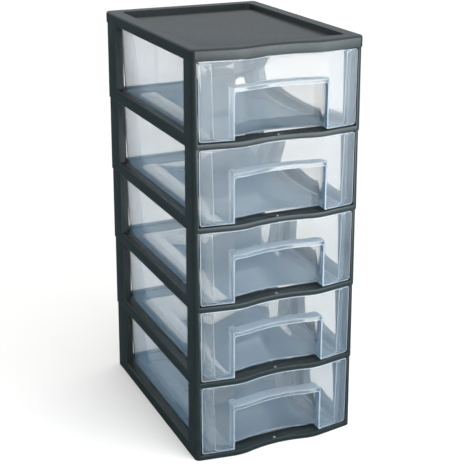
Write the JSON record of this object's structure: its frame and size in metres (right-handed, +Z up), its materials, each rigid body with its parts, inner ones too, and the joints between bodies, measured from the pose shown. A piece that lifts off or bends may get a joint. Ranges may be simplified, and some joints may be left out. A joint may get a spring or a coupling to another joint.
{
  "type": "plastic drawer tower",
  "caption": "Free-standing tower of clear plastic drawers with wavy fronts and finger pulls, each sliding on the shelf of an open-sided dark plastic frame under a tray-topped cover.",
  "frame": {"origin": "middle of the tower's footprint, on the surface that it stands on", "axes": "+Z up along the tower's height, -Y the way the drawers open, +X to the right for someone who faces the drawers"},
  "size_m": [0.28, 0.39, 0.6605],
  "materials": {
    "frame_plastic": "satin moulded polypropylene, dark anthracite",
    "clear_plastic": "clear moulded plastic with a faint blue-grey tint"
  },
  "bodies": {
    "frame": {"top_cover": "frame_plastic", "frame_level_1": "frame_plastic", "frame_level_2": "frame_plastic", "frame_level_3": "frame_plastic", "frame_level_4": "frame_plastic", "frame_level_5": "frame_plastic"},
    "drawer_1": {"drawer_1": "clear_plastic"},
    "drawer_2": {"drawer_2": "clear_plastic"},
    "drawer_3": {"drawer_3": "clear_plastic"},
    "drawer_4": {"drawer_4": "clear_plastic"},
    "drawer_5": {"drawer_5": "clear_plastic"}
  },
  "joints": [
    {"name": "drawer_1_slide", "type": "slide", "parent": "frame", "child": "drawer_1", "axis": [0, -1, 0], "range_m": [0, 0.3]},
    {"name": "drawer_2_slide", "type": "slide", "parent": "frame", "child": "drawer_2", "axis": [0, -1, 0], "range_m": [0, 0.3]},
    {"name": "drawer_3_slide", "type": "slide", "parent": "frame", "child": "drawer_3", "axis": [0, -1, 0], "range_m": [0, 0.3]},
    {"name": "drawer_4_slide", "type": "slide", "parent": "frame", "child": "drawer_4", "axis": [0, -1, 0], "range_m": [0, 0.3]},
    {"name": "drawer_5_slide", "type": "slide", "parent": "frame", "child": "drawer_5", "axis": [0, -1, 0], "range_m": [0, 0.3]}
  ]
}
